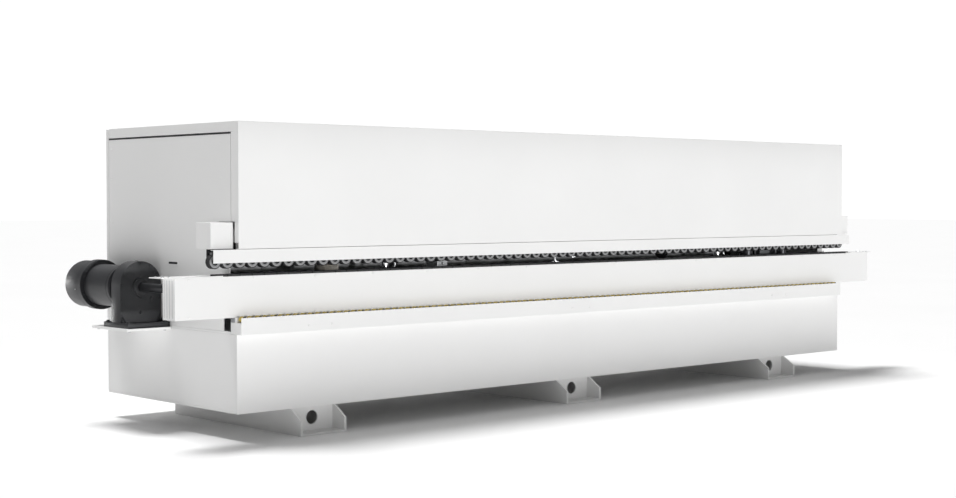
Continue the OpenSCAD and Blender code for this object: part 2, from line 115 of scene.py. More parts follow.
WHITE = finish_mat("powder_white", (0.93, 0.93, 0.925), 0.42, var=0.012, vscale=1.4, fine=520, bump=0.012, bdist=0.00012, coat=0.15)
WHITE_FOOT_SHADED = finish_mat("powder_white_foot", (0.9, 0.9, 0.895), 0.45, var=0.02, vscale=3, fine=420, bump=0.02, bdist=0.0002, floor_shade=0.25)
GREY = finish_mat("enamel_grey", (0.50, 0.51, 0.52), 0.4, var=0.03, vscale=2.5, fine=420, bump=0.015, bdist=0.0002)
STRIPE = finish_mat("beam_end_grey", (0.70, 0.705, 0.71), 0.4, var=0.05, vscale=8, fine=300, bump=0.02, bdist=0.0003)
DARK = finish_mat("drive_charcoal", (0.026, 0.027, 0.030), 0.5, var=0.12, vscale=7, fine=380, bump=0.05, bdist=0.0004, coat=0.1)
DARKER = finish_mat("shadow_black", (0.012, 0.012, 0.013), 0.6, var=0.1, vscale=12, fine=300, bump=0.03, bdist=0.0003)
STEEL = finish_mat("machined_steel", (0.62, 0.63, 0.64), 0.3, 1.0, var=0.05, vscale=9, fine=90, bump=0.02, bdist=0.0002, stretch=(1, 1, 22))
CHROME = finish_mat("ground_chrome", (0.8, 0.81, 0.82), 0.12, 1.0, var=0.03, vscale=6, fine=200, bump=0.006, bdist=0.0001, rvar=0.04)
CHAIN = finish_mat("oiled_chain_steel", (0.16, 0.155, 0.15), 0.34, 1.0, var=0.2, vscale=30, fine=200, bump=0.05, bdist=0.0003)
CAST = finish_mat("cast_grey", (0.24, 0.25, 0.26), 0.55, 0.3, var=0.1, vscale=14, fine=160, bump=0.12, bdist=0.0006)
ALU = finish_mat("cast_aluminium", (0.55, 0.56, 0.57), 0.42, 0.9, var=0.06, vscale=12, fine=240, bump=0.05, bdist=0.0003)
RUBBER = finish_mat("tyre_rubber", (0.035, 0.035, 0.037), 0.68, var=0.15, vscale=40, fine=700, bump=0.06, bdist=0.0003, spec=0.3)
PADRUB = finish_mat("pad_rubber", (0.04, 0.04, 0.042), 0.7, var=0.15, vscale=30, fine=500, bump=0.08, bdist=0.0004, groove=("X", 60, 0.2), spec=0.3)
RING = finish_mat("wheel_rim_grey", (0.30, 0.303, 0.307), 0.42, 0.3, var=0.04, vscale=30, fine=300, bump=0.02, bdist=0.0002)
YELLOW = finish_mat("roller_yellow", (0.66, 0.50, 0.09), 0.42, var=0.08, vscale=18, fine=350, bump=0.03, bdist=0.0002)
TRAY = finish_mat("tray_plastic", (0.66, 0.60, 0.49), 0.45, var=0.05, vscale=8, fine=300, bump=0.03, bdist=0.0003)
TAPE = finish_mat("edge_tape", (0.72, 0.58, 0.40), 0.5, var=0.12, vscale=6, fine=120, bump=0.04, bdist=0.0003, stretch=(1, 1, 30))
RED = finish_mat("button_red", (0.62, 0.03, 0.025), 0.25, var=0.05, vscale=25, fine=300, bump=0.01, bdist=0.0001, coat=0.4)
YEL = finish_mat("plate_yellow", (0.85, 0.62, 0.04), 0.4, var=0.04, vscale=25, fine=300, bump=0.02, bdist=0.0001)
BLACKP = finish_mat("moulded_black", (0.03, 0.03, 0.032), 0.45, var=0.1, vscale=30, fine=600, bump=0.04, bdist=0.0002)
CLOTH = finish_mat("buff_cloth", (0.30, 0.27, 0.22), 0.95, var=0.12, vscale=60, fine=900, bump=0.3, bdist=0.001, sheen=0.5, groove=("Z", 220, 1.5))
BRASS = finish_mat("nut_brass", (0.72, 0.52, 0.22), 0.3, 1.0, var=0.06, vscale=20, fine=200, bump=0.02, bdist=0.0002)
GLUE = finish_mat("hot_melt", (0.62, 0.50, 0.28), 0.3, var=0.12, vscale=18, fine=60, bump=0.12, bdist=0.002, coat=0.3)

BY_SLOT = {"paint_white": WHITE, "paint_grey": GREY, "paint_dark": DARK, "steel": STEEL, "chrome_steel": CHROME,
           "chain_steel": CHAIN, "cast_grey": CAST, "motor_alu": ALU, "rubber_black": RUBBER, "pad_rubber": PADRUB,
           "roller_yellow": YELLOW, "tray_plastic": TRAY, "plastic_red": RED, "plastic_black": BLACKP, "buff_cloth": CLOTH}
SLOT = {s["node"]: s["material_slot"] for s in frame["record"]["subparts"]}
for n, o in nodes.items():
    m = BY_SLOT[SLOT[n]]
    # feet get a slightly darker copy of the white paint, with painted shade near the floor
    if n.startswith("foot_"):
        m = WHITE_FOOT_SHADED
    o.data.materials.clear()
    o.data.materials.append(m)


BLUED = finish_mat("black_oxide_steel", (0.045, 0.046, 0.05), 0.36, 0.6, var=0.1, vscale=14, fine=300, bump=0.03, bdist=0.0002, stretch=(1, 1, 12))
for n in ("drive_shaft", "glue_roller", "press_roller", "saw_blade"):
    nodes[n].data.materials.clear()
    nodes[n].data.materials.append(BLUED)


def soften(node, width, seg=2, angle=35):
    o = nodes[node]
    w = o.modifiers.new("weld", "WELD"); w.merge_threshold = 1e-5
    b = o.modifiers.new("bevel", "BEVEL")
    b.width, b.segments, b.limit_method, b.angle_limit = width, seg, "ANGLE", math.radians(angle)
    b.harden_normals = False


for n, w in (("base_front_panel", .002), ("base_top_plate", .003), ("feed_cover", .0012), ("motor_bracket", .002),
             ("foot_left", .002), ("foot_middle", .002), ("foot_right", .002), ("beam_end_covers", .0012),
             ("pressure_beam", .002), ("end_plates", .0012), ("base_end_plates", .002), ("glue_pot", .002),
             ("press_unit", .0015), ("scraper_unit", .003), ("rail_sleeves", .002), ("base_bottom_plate", .002)):
    soften(n, w)


# ---------------------------------------------------------------- mesh building
class MB:
    def __init__(self):
        self.bm = bmesh.new()
        self.mats = []

    def mi(self, m):
        if m not in self.mats:
            self.mats.append(m)
        return self.mats.index(m)

    def box(self, x, y, z, m, bev=0.0, seg=1):
        """A block with its edges broken by bev millimetres."""
        i = self.mi(m)
        t = bmesh.new()
        bmesh.ops.create_cube(t, size=1.0)
        for v in t.verts:
            v.co = Vector(P((x[0] + x[1]) / 2 + v.co.x * (x[1] - x[0]), (y[0] + y[1]) / 2 + v.co.y * (y[1] - y[0]),
                            (z[0] + z[1]) / 2 + v.co.z * (z[1] - z[0])))
        if bev:
            bmesh.ops.bevel(t, geom=t.edges[:], offset=bev / 1000, segments=seg, affect="EDGES", profile=0.5)
        self._take(t, i)

    def _take(self, t, i):
        bmesh.ops.recalc_face_normals(t, faces=t.faces[:])
        me = bpy.data.meshes.new("tmp")
        t.to_mesh(me); t.free()
        for p in me.polygons:
            p.material_index = i
        self.bm.from_mesh(me)
        bpy.data.meshes.remove(me)

    def lathe(self, axis, c, prof, m, n=32, closed=False, ang0=0.0, wob=None):
        """Revolves (along, radius) points in millimetres about an axis through c. Each span can have its own material."""
        t = bmesh.new()
        rings = []
        for k, (a, r) in enumerate(prof):
            ring = []
            for j in range(n):
                th = ang0 + 2 * math.pi * j / n
                rr = r if wob is None else r + wob(k, j)
                u, v = rr * math.cos(th), rr * math.sin(th)
                if axis == "x": q = (a, c[1] + u, c[2] + v)
                elif axis == "y": q = (c[0] + u, a, c[2] + v)
                else: q = (c[0] + u, c[1] + v, a)
                ring.append(t.verts.new(P(*q)))
            rings.append(ring)
        ms = m if isinstance(m, list) else [m] * len(prof)
        spans = list(range(len(prof) - 1)) + ([len(prof) - 1] if closed else [])
        for k in spans:
            r0, r1 = rings[k], rings[(k + 1) % len(prof)]
            i = self.mi(ms[k])
            for j in range(n):
                f = t.faces.new((r0[j], r0[(j + 1) % n], r1[(j + 1) % n], r1[j]))
                f.material_index = i
        if not closed:
            for ring, k in ((rings[0], 0), (rings[-1], -1)):
                f = t.faces.new(ring if k else list(reversed(ring)))
                f.material_index = self.mi(ms[k])
        bmesh.ops.remove_doubles(t, verts=t.verts[:], dist=1e-6)
        bmesh.ops.recalc_face_normals(t, faces=t.faces[:])
        me = bpy.data.meshes.new("tmp")
        t.to_mesh(me); t.free()
        self.bm.from_mesh(me)
        bpy.data.meshes.remove(me)

    def screw(self, axis, c, r, h, m, sgn=1):
        """A hexagon head with a chamfer, standing h millimetres from c along the axis."""
        k = {"x": 0, "y": 1, "z": 2}[axis]
        a = c[k]
        self.lathe(axis, c, [(a, r), (a + sgn * h * 0.7, r), (a + sgn * h, r * 0.82)], m, n=6)

    def pan(self, axis, c, r, h, m, sgn=1):
        k = {"x": 0, "y": 1, "z": 2}[axis]
        a = c[k]
        self.lathe(axis, c, [(a, r), (a + sgn * h * .45, r), (a + sgn * h * .85, r * .8), (a + sgn * h, r * .45),
                             (a + sgn * h * .5, r * .35)], m, n=12)

    def prism(self, axis, a, pts, m, bev=0.0):
        """Outline of two coordinates, extruded along an axis from a[0] to a[1] millimetres."""
        t = bmesh.new()
        def q(s, p):
            if axis == "x": return P(s, p[0], p[1])
            if axis == "y": return P(p[0], s, p[1])
            return P(p[0], p[1], s)
        v0 = [t.verts.new(q(a[0], p)) for p in pts]
        v1 = [t.verts.new(q(a[1], p)) for p in pts]
        n = len(pts)
        t.faces.new(v0); t.faces.new(list(reversed(v1)))
        for j in range(n):
            t.faces.new((v0[j], v1[j], v1[(j + 1) % n], v0[(j + 1) % n]))
        if bev:
            bmesh.ops.bevel(t, geom=t.edges[:], offset=bev / 1000, segments=2, affect="EDGES", profile=0.5)
        self._take(t, self.mi(m))

    def make(self, name, body, replaces=(), smooth=40):
        me = bpy.data.meshes.new(name)
        self.bm.to_mesh(me); self.bm.free()
        for m in self.mats:
            me.materials.append(m)
        o = bpy.data.objects.new(name, me)
        bpy.context.scene.collection.objects.link(o)
        for p in me.polygons:
            p.use_smooth = True
        me.set_sharp_from_angle(angle=math.radians(smooth))
        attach(o, body)
        if replaces:
            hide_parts(*replaces)
        return o


for n in ("motor_body", "fan_cowl", "gearbox_housing", "lift_columns", "drive_shaft", "idler_wheel", "countershaft",
          "motor_rotor", "wheel_axles", "lift_screw_left", "lift_screw_right", "glue_roller", "press_roller",
          "buffing_motor", "trim_motors", "end_trim_motor", "rear_door_left", "rear_door_right", "hood_rear_panel",
          "main_switch", "emergency_stop"):
    me = nodes[n].data
    for p in me.polygons:
        p.use_smooth = True
    me.set_sharp_from_angle(angle=math.radians(30))

# ---------------------------------------------------------------- pressure wheels
WX0, WP, WZ, WR, WY0, WW = -127.0, 79.5, 967.0, 38.0, 33.0, 38.0


def wheel(mb, i):
    x = WX0 + WP * i
    c = (x, 0, WZ)
    y0, y1 = WY0, WY0 + WW
    prof = [(y0 + 5, 6.05), (y0 + 5, 15), (y0 + 3, 17), (y0 + .8, 19), (y0, 21), (y0, 31), (y0 + .6, 33), (y0 + .6, 36.2),
            (y0 + 2, WR), (y0 + 11, WR), (y0 + 12, WR - 1), (y0 + 14, WR - 1), (y0 + 15, WR), (y0 + 23, WR), (y0 + 24, WR - 1),
            (y0 + 26, WR - 1), (y0 + 27, WR), (y1 - 2, WR), (y1, WR - 2), (y1, 20), (y1 - 3, 17), (y1 - 3, 6.05)]
    ms = [BLACKP, BLACKP, BLACKP, RING, RING, RING, RUBBER] + [RUBBER] * 11 + [RUBBER, RING, BLACKP, BLACKP]
    mb.lathe("y", c, prof, ms, n=36, closed=True)


mb = MB()
for i in range(1, 72):
    wheel(mb, i)
mb.make("pressure_wheel_row", "pressure_beam", ("pressure_wheels",))
mb = MB(); wheel(mb, 0)
mb.make("outfeed_wheel_tyre", "outfeed_wheel", ("outfeed_wheel",))
mb = MB()
for i in range(72):
    x = WX0 + WP * i
    c = (x, 0, WZ)
    mb.lathe("y", c, [(WY0 + 3.2, 4.2), (WY0 + 2.6, 5.6), (WY0 + 4, 6), (75, 6)], CHAIN, n=12)
    mb.lathe("y", c, [(WY0 + WW + .5, 11), (WY0 + WW + 1.2, 12), (75, 12)], STEEL, n=16)
    mb.box((x - 7, x + 7), (71, 75), (WZ + 20, WZ + 50), GREY, 1.0)
mb.make("wheel_axle_row", "pressure_beam", ("wheel_axles",))

# ---------------------------------------------------------------- chain pads
mb = MB()
for i in range(72):
    x = -133.5 + 40 + i * 80
    y0, y1, z0, z1 = 28, 74, 884, 900
    mb.box((x - 36, x + 36), (y0 + 2, y1 - 2), (z0, z0 + 6.4), CAST, .8)
    # ribbed rubber face: outline along the feed with shallow cross grooves
    pts = [(x - 38, z0 + 6), (x + 38, z0 + 6), (x + 38, z1 - 2), (x + 36, z1)]
    k = 9
    for j in range(k):
        xc = x + 36 - (j + .5) * 72 / k
        pts += [(xc + 1.6, z1), (xc + .9, z1 - 1.4), (xc - .9, z1 - 1.4), (xc - 1.6, z1)]
    pts += [(x - 36, z1), (x - 38, z1 - 2)]
    mb.prism("y", (y0, y1), pts, PADRUB)
mb.make("feed_pad_row", "root", ("chain_pads",))

# chain: link plates and pins along both strands and round both ends
mb = MB()
R, Zc, xd, xi = 79.0, 805.0, -133.5, 5626.5
half = math.pi * (R - 6)
strand = xi - xd
total = 2 * strand + 2 * half
pitch = 20.0
cnt = int(total / pitch)
def chain_at(s):
    s %= total
    r = R - 6
    if s < strand: return (xd + s, Zc + r, 0.0)
    s -= strand
    if s < half:
        a = s / r
        return (xi + r * math.sin(a), Zc + r * math.cos(a), -a)
    s -= half
    if s < strand: return (xi - s, Zc - r, math.pi)
    s -= strand
    a = s / r
    return (xd - r * math.sin(a), Zc - r * math.cos(a), math.pi - a)
for j in range(cnt):
    s = j * total / cnt
    x, z, a = chain_at(s + pitch / 2)
    yo = 0 if j % 2 else 2.2
    for y in (43 + yo, 57 - yo):
        pts = []
        for t in range(12):
            th = 2 * math.pi * t / 12
            u = math.cos(th) * 5.6 + (7.6 if math.cos(th) > 0 else -7.6)
            w = math.sin(th) * 5.6 * (0.86 if abs(math.cos(th)) < .3 else 1)
            pts.append((x + u * math.cos(a) - w * math.sin(a), z + u * math.sin(a) + w * math.cos(a)))
        mb.prism("y", (y, y + 1.8), pts, CHAIN)
    x, z, a = chain_at(s)
    mb.lathe("y", (x, 0, z), [(42.2, 2.6), (59.6, 2.6)], CHAIN, n=8)
mb.make("feed_chain_links", "root", ("drive_chain",))

# ---------------------------------------------------------------- support rail rollers
mb = MB()
for i in range(108):
    x = 8 + 50 * i
    z = 659.0
    mb.lathe("y", (x, 0, z), [(-42, 8), (-42, 14.5), (-40.5, 16), (-29, 16), (-27.5, 15.2), (-22.5, 15.2), (-21, 16), (-9.5, 16), (-8, 14.5),
                              (-8, 8)], [BLACKP] + [YELLOW] * 8 + [BLACKP], n=24)
    mb.lathe("y", (x, 0, z), [(-42.6, 4), (-42, 4.6), (-7, 4.6), (-6.2, 4)], STEEL, n=12)
mb.make("rail_roller_row", "rail", ("rail_rollers",))
soften("support_rail", .0012)
mb = MB()
for x in (507, 2581, 4655):
    for s in (-80, 80):
        mb.pan("y", (x + s, -46, 606), 7, 3, WHITE, -1)
    mb.box((x - 60, x + 60), (18, 24), (594, 646), GREY, 1.5)
mb.box((-17.5, -15), (-44, 52), (577, 640), WHITE, .8)
mb.box((5420, 5422.5), (-44, 16), (577, 640), WHITE, .8)
mb.make("rail_fittings", "rail")

# ---------------------------------------------------------------- motor and gearbox
mb = MB()
DX, DZ = -133.5, 805.0
MX, MZ = -148.5, 803.87
mb.lathe("y", (MX, 0, MZ), [(884.2, 19.1), (884.2, 84), (888, 90), (912, 90), (914, 116), (917, 120), (936, 120), (937, 118.6), (941, 118.6), (942, 120), (1172, 120), (1173, 118.6), (1177, 118.6),
                            (1178, 120), (1189, 120), (1190, 143), (1192, 145), (1246, 145), (1250, 141), (1250, 19.1)], DARK, n=96, closed=True)
for j in range(8):
    a = math.pi / 8 + j * math.pi / 4
    mb.screw("y", (MX + 132 * math.cos(a), 1190, MZ + 132 * math.sin(a)), 5, 4, DARK, -1)
for j in range(4):
    a = math.pi / 4 + j * math.pi / 2
    mb.screw("y", (MX + 104 * math.cos(a), 916, MZ + 104 * math.sin(a)), 6, 5, DARK, -1)
mb.make("motor_frame", "root", ("motor_body",))
mb = MB()
mb.lathe("y", (MX, 0, MZ), [(1250, 132), (1250, 136), (1380, 136), (1390, 132), (1394.5, 124), (1394.5, 104), (1391, 104), (1391, 124),
                            (1386, 130), (1380, 132)], DARK, n=72, closed=True)
for r in (20, 34, 48, 62, 76, 90):
    mb.lathe("y", (MX, 0, MZ), [(1390.5, r - 2), (1390.5, r + 2), (1394.5, r + 2), (1394.5, r - 2)], DARK, n=48, closed=True)
mb.lathe("y", (MX, 0, MZ), [(1390.5, 8), (1394, 8)], DARK, n=24)
for j in range(8):
    a = j * math.pi / 4
    ca, sa = math.cos(a), math.sin(a)
    mb.prism("y", (1390, 1394), [(MX + r * ca - w * sa, MZ + r * sa + w * ca) for r, w in ((6, -2.5), (6, 2.5), (106, 2.5), (106, -2.5))], DARK)
for a in (0.2, 1.77, 3.34, 4.91):
    c = (MX + 135 * math.cos(a), 1266, MZ + 135 * math.sin(a))
    mb.lathe("y", c, [(1262, 4), (1270, 4)], STEEL, n=8)
mb.make("fan_cowl_grille", "root", ("fan_cowl",))
soften("gearbox_housing", .004, 3)
mb = MB()
for a in range(0, 181, 30):
    t = math.radians(a)
    mb.screw("y", (DX + 120 * math.cos(t), 784, 819.5 + 120 * math.sin(t)), 5.5, 4, DARK, -1)
for x in (DX - 120, DX + 120):
    for z in (650, 735):
        mb.screw("y", (x, 784, z), 5.5, 4, DARK, -1)
mb.lathe("y", (DX, 0, DZ), [(766, 26), (766, 40), (770, 46), (776, 52), (784, 58), (784, 26)], DARK, n=48, closed=True)
mb.lathe("y", (DX, 0, 660), [(777, 8), (779, 10), (784, 10)], DARK, n=6)
mb.lathe("y", (DX + 70, 0, 735), [(780, 9), (781, 12), (784, 13)], DARK, n=24)
mb.lathe("z", (DX, 830, 0), [(946, 9), (951, 9), (953, 6)], DARK, n=12)
for s in (-1, 1):
    for y in (752, 905):
        mb.prism("x", (DX + s * 118 - 6, DX + s * 118 + 6), [(y, 606), (y + (32 if y < 800 else -21) , 606), (y + (32 if y < 800 else -21), 640)], DARK)
mb.make("gearbox_fittings", "root")
mb = MB()
for x in (DX - 120, DX + 115):
    for y in (715, 940):
        mb.lathe("z", (x, y, 0), [(607, 15), (609.5, 15)], DARK, n=24)
        mb.screw("z", (x, y, 609.5), 11, 7.5, DARK)
for x in (-440, -400, 5860, 5900):
    for y in (50, 115):
        mb.lathe("z", (x, y, 0), [(893, 8), (894.5, 8)], STEEL, n=16)
        mb.screw("z", (x, y, 894), 6.5, 4, STEEL)
for x in (507, 2581, 4655):
    for y in (80, 380):
        mb.lathe("z", (x, y, 0), [(653, 13), (654.5, 13)], STEEL, n=20)
        mb.screw("z", (x, y, 654.5), 8, 6, STEEL)
mb.make("bolt_heads", "root", ("bolts",))
mb = MB()   # fixing bolts under the gearbox
for y in (705, 1045):
    for x in (-255, -28):
        mb.screw("z", (x, y, 565), 9, 7, STEEL, -1)
mb.make("bracket_bolts", "root")

# ---------------------------------------------------------------- feed beam ends and cover fittings
mb = MB()
for x0, x1 in ((-382.6, -381.4), (5876.4, 5877.6)):
    for k in range(4):
        y = 42 + k * 26
        mb.box((x0 - .4, x1 + .4), (y, y + 9), (676, 876), STRIPE, .5)
for x in range(-300, 5850, 410):
    mb.pan("y", (x, 21, 678), 6, 2.6, WHITE, -1)
    mb.pan("y", (x, 21, 876), 6, 2.6, WHITE, -1)
mb.make("beam_cover_trim", "root")

# ---------------------------------------------------------------- hood details
def stadium(cx, cz, l, h, n=10):
    pts = []
    for s, a0 in ((1, -90), (-1, 90)):
        for k in range(n + 1):
            a = math.radians(a0 + 180 * k / n)
            pts.append((cx + s * (l - h) / 2 + h / 2 * math.cos(a), cz + h / 2 * math.sin(a)))
    return pts
mb = MB()
mb.prism("x", (-2.2, 0.2), stadium(655, 941, 104, 22), WHITE)
mb.prism("x", (-2.6, -1.8), stadium(655, 941, 92, 12), DARKER)
for y in (170, 1340):
    for z in (640, 900, 1160, 1420, 1600):
        if not (y == 170 and 900 < z < 1300):
            mb.pan("x", (0, y, z), 6, 2.4, WHITE, -1)
            mb.pan("x", (5500, y, z), 6, 2.4, WHITE, 1)
mb.box((-0.8, 4.2), (76, 1366), (1652, 1659.5), DARKER, .6)
mb.box((5495.8, 5500.6), (76, 1366), (1652, 1659.5), DARKER, .6)
mb.box((5493, 5502.5), (176, 186), (1180, 1185), BLACKP, .8)
mb.make("hood_end_trim", "root")
mb = MB()
mb.box((4, 5496), (3.4, 12), (1641, 1651), BLACKP, 1.2)
for x in (900, 2750, 4600):     # grip bars behind the lower edge
    mb.lathe("x", (0, 22, 1110), [(x - 130, 6), (x + 130, 6)], CHROME, n=16)
    for s in (-130, 130):
        mb.lathe("z", (x + s, 22, 0), [(1104, 7), (1116, 7)], CHROME, n=14)
for x in range(180, 5500, 642):   # stiffeners behind the lid sheet
    mb.box((x - 20, x + 20), (3, 20), (1100, 1640), WHITE, 1.5)
    mb.box((x - 20, x + 20), (12, 1350), (1700, 1714.5), WHITE, 1.5)
for x in (300, 1900, 3600, 5200):
    for y in (1340, 1310):
        mb.screw("z", (x + 0, y, 1700), 8, 6, STEEL, -1)
mb.make("lid_fittings", "hood_lid")
soften("lid_top_panel", .0022, 3)
soften("lid_front_panel", .0012, 2)

# rear of the hood and base
mb = MB()
for x in range(120, 5500, 405):
    for z in (610, 1690):
        mb.pan("y", (x, 1400, z), 6.5, 2.8, WHITE)
for x in (120, 1350, 2750, 4150, 5380):
    for z in (800, 1000, 1200, 1400, 1580):
        mb.pan("y", (x, 1400, z), 6.5, 2.8, WHITE)
for xs in (1375, 2750, 4125):                 # vertical seam strips of the rear skin
    mb.box((xs - 22, xs + 22), (1399.5, 1402), (600, 1690), WHITE, .8)
for xc in (700, 2900, 4800):                  # louvred vents
    for k in range(9):
        z = 960 + k * 24
        mb.prism("x", (xc - 150, xc + 150), [(1400, z), (1400, z + 15), (1409, z + 3), (1408, z)], WHITE)
for x in (1800, 3900):
    mb.lathe("y", (x, 0, 1300), [(1400, 82), (1400, 108), (1404, 108), (1405, 106), (1405, 82)], WHITE, n=64, closed=True)
    for k in range(6):
        a = k * math.pi / 3
        mb.screw("y", (x + 98 * math.cos(a), 1405, 1300 + 98 * math.sin(a)), 6, 4, STEEL)
mb.make("rear_skin_trim", "root")
for side, sg in (("left", 1), ("right", -1)):
    mb = MB()
    f = (lambda v: v) if sg == 1 else (lambda v: 5480 - v)
    def bxx(a, b): return (min(f(a), f(b)), max(f(a), f(b)))
    mb.box(bxx(1010, 1890), (1391.6, 1394), (185, 548), WHITE, 1.2)
    for k in range(7):
        z = 235 + k * 20
        mb.prism("x", bxx(1080, 1380), [(1394, z), (1394, z + 12), (1401, z + 3), (1400, z)], WHITE)
    mb.lathe("y", (f(1855), 0, 365), [(1400, 15), (1402, 16), (1404, 16)], BLACKP, n=28)
    mb.box(bxx(1848, 1862), (1403, 1410), (340, 392), BLACKP, 2.5, 2)
    mb.make("rear_door_%s_panel" % side, "rear_door_" + side)
    soften("rear_door_" + side, .0012)

# ---------------------------------------------------------------- controls
mb = MB()
mb.lathe("x", (0, 600, 1300), [(5497, 8), (5508, 8), (5508, 15), (5512, 19), (5517, 20), (5520.5, 18.4), (5522, 13), (5522.4, 5)], RED, n=40)
mb.lathe("x", (0, 600, 1300), [(5486, 9.5 - 1.6), (5497, 7.9)], BLACKP, n=24)
mb.make("stop_mushroom", "emergency_stop", ("emergency_stop",))
mb = MB()
mb.lathe("x", (0, 750, 1300), [(5500.6, 30), (5506, 30), (5509, 28), (5510, 25)], BLACKP, n=48)
mb.box((5509, 5524), (742.5, 757.5), (1272, 1328), RED, 2.5, 2)
mb.lathe("x", (0, 750, 1300), [(5488, 6), (5501, 6)], STEEL, n=20)
mb.make("switch_knob", "main_switch", ("main_switch",))
mb = MB()
mb.lathe("x", (0, 600, 1300), [(5500, 8.1), (5500, 34), (5502, 34), (5502.6, 33), (5502.6, 8.1)], YEL, n=48, closed=True)
mb.box((5500, 5500.45), (705, 795), (1255, 1345), YEL, .2)
mb.make("switch_plates", "root")

# ---------------------------------------------------------------- units inside the hood
def motor_ribs(mb, c, r0, r1, z0, z1, m=ALU, n=18):
    mb.lathe("z", c, [(z0, r0 - 3), (z0 + 2, r0), (z1 - 4, r0), (z1, r0 - 4)], m, n=40)
    for j in range(n):
        a = 2 * math.pi * j / n
        ca, sa = math.cos(a), math.sin(a)
        mb.prism("z", (z0 + 6, z1 - 8), [(c[0] + r * ca - w * sa, c[1] + r * sa + w * ca) for r, w in ((r0 - 1, -1.2), (r0 - 1, 1.2), (r1, .8), (r1, -.8))], m)
mb = MB()
for x in (2500, 2650):
    motor_ribs(mb, (x, 112, 0), 25.5, 27, 951, 1040, n=14)
    mb.lathe("z", (x, 112, 0), [(950, 6.1), (950, 24), (952, 25), (952, 6.1)], STEEL, n=32, closed=True)
    mb.box((x - 20, x + 20), (136, 560), (990, 1020), GREY, 2)
    mb.box((x - 30, x + 30), (300, 430), (984, 1030), ALU, 3)
    for y in (330, 400):
        mb.screw("z", (x, y, 1030), 6, 5, STEEL)
mb.make("trim_motor_pair", "root", ("trim_motors",))
mb = MB()
motor_ribs(mb, (700, 155, 0), 46, 50, 970, 1040, n=20)
mb.lathe("z", (700, 155, 0), [(968, 8.1), (968, 44), (972, 47), (972, 8.1)], ALU, n=40, closed=True)
mb.box((680, 720), (198, 560), (985, 1015), GREY, 2)
mb.make("buffing_drive", "root", ("buffing_motor",))
mb = MB()
mb.lathe("z", (700, 155, 0), [(895, 8), (895, 30)] + [(895 + k * 4 + d, 69 - (1.6 if d in (0, 4) else 0)) for k in range(16) for d in (0.3, 2, 3.7)] + [(960, 30), (960, 8), (989, 8)],
         [STEEL] + [CLOTH] * 49 + [STEEL] * 3, n=72, wob=lambda k, j: (0.9 * math.sin(j * 7 + k * 1.3) if 2 <= k < 50 else 0))
mb.make("buffing_mop", "buffing_wheel", ("buffing_wheel",))
def cutter(name, body, node, cx, cy, z0, z1, top):
    mb = MB()
    pts = []
    n = 6
    for j in range(n):
        for da, r in ((0, 26), (16, 26), (22, 20), (50, 22)):
            a = math.radians(j * 60 + da)
            pts.append((cx + r * math.cos(a), cy + r * math.sin(a)))
    mb.prism("z", (z0, z1), pts, STEEL)
    mb.lathe("z", (cx, cy, 0), [(z1 - .5, 12), (z1 + 6, 12), (z1 + 7, 6), (top, 6)], STEEL, n=24)
    mb.make(name, body, (node,))
cutter("upper_cutter_head", "trim_cutter_upper", "trim_cutter_upper", 2650, 112, 925, 937, 979)
cutter("lower_cutter_head", "trim_cutter_lower", "trim_cutter_lower", 2500, 112, 891, 903, 979)
mb = MB()   # glue pot: ribbed jacket and fill
for k in range(7):
    x = 4775 + k * 41
    mb.box((x, x + 8), (479.5, 488), (775, 985), CAST, 1.5)
for y in (240, 300, 360, 420):
    mb.box((5049.5, 5058), (y, y + 8), (775, 985), CAST, 1.5)
    mb.box((4742, 4750.5), (y, y + 8), (775, 985), CAST, 1.5)
mb.box((4765.5, 5034.5), (215.5, 464.5), (776, 940), GLUE, 3)
mb.make("glue_pot_jacket", "root")
mb = MB()   # tape tray with a wound coil
tx, ty = 4900, 630
mb.lathe("z", (tx, ty, 0), [(1240, 27), (1240, 346), (1243, 350), (1250, 350), (1250, 347), (1246, 345), (1246, 27)], TRAY, n=96, closed=True)
mb.lathe("z", (tx, ty, 0), [(1226.5, 12.05), (1226.5, 25), (1290, 25), (1290, 12.05)], BLACKP, n=40, closed=True)
for k in range(3):
    a = k * 2 * math.pi / 3
    mb.prism("z", (1246, 1258), [(tx + r * math.cos(a) - w * math.sin(a), ty + r * math.sin(a) + w * math.cos(a)) for r, w in ((22, -9), (22, 9), (122, 9), (122, -9))], TRAY)
prof = [(1247, 121)]
for k in range(36):
    r = 121 + k * 4.97
    prof += [(1289 - (1.2 if k % 2 else 0), r + .3), (1289 - (1.2 if k % 2 else 0), r + 4.2)]
prof += [(1288, 300), (1247, 300)]
mb.lathe("z", (tx, ty, 0), prof, TAPE, n=96, closed=True)
mb.make("tape_reel", "tape_tray", ("tape_tray",))
for side, x in (("left", 1275), ("right", 4375)):      # threaded lift screws
    mb = MB()
    prof = [(587.6, 9)]
    z = 590.0
    while z < 1462:
        prof += [(z, 10), (z + 1.4, 10), (z + 2.6, 8.2), (z + 3.6, 8.2)]
        z += 5
    prof += [(1465, 10), (1465, 38), (1467, 42), (1478, 42), (1480, 38), (1480, 12), (1498, 12), (1500, 10)]
    mb.lathe("z", (x, 245, 0), prof, STEEL, n=24)
    mb.make("lift_screw_%s_thread" % side, "lift_screw_" + side, ("lift_screw_" + side,))
mb = MB()
for x in (1200, 4300):
    mb.lathe("z", (x, 245, 0), [(1130, 25.1), (1130, 34), (1140, 34), (1143, 31), (1143, 25.1)], BLACKP, n=40, closed=True)
    mb.lathe("z", (x + 75, 245, 0), [(1130, 10.1), (1130, 20), (1148, 20), (1148, 10.1)], BRASS, n=6, closed=True)
    for s in (-95, -55, 40):
        mb.screw("z", (x + s, 200, 1130), 8, 6, STEEL)
mb.make("beam_bushings", "pressure_beam")
mb = MB()
for x in (1200, 4300):
    mb.lathe("z", (x, 245, 0), [(587, 25.1), (587, 48), (597, 48), (600, 40), (612, 38), (612, 25.1)], CAST, n=40, closed=True)
mb.make("column_collars", "root")
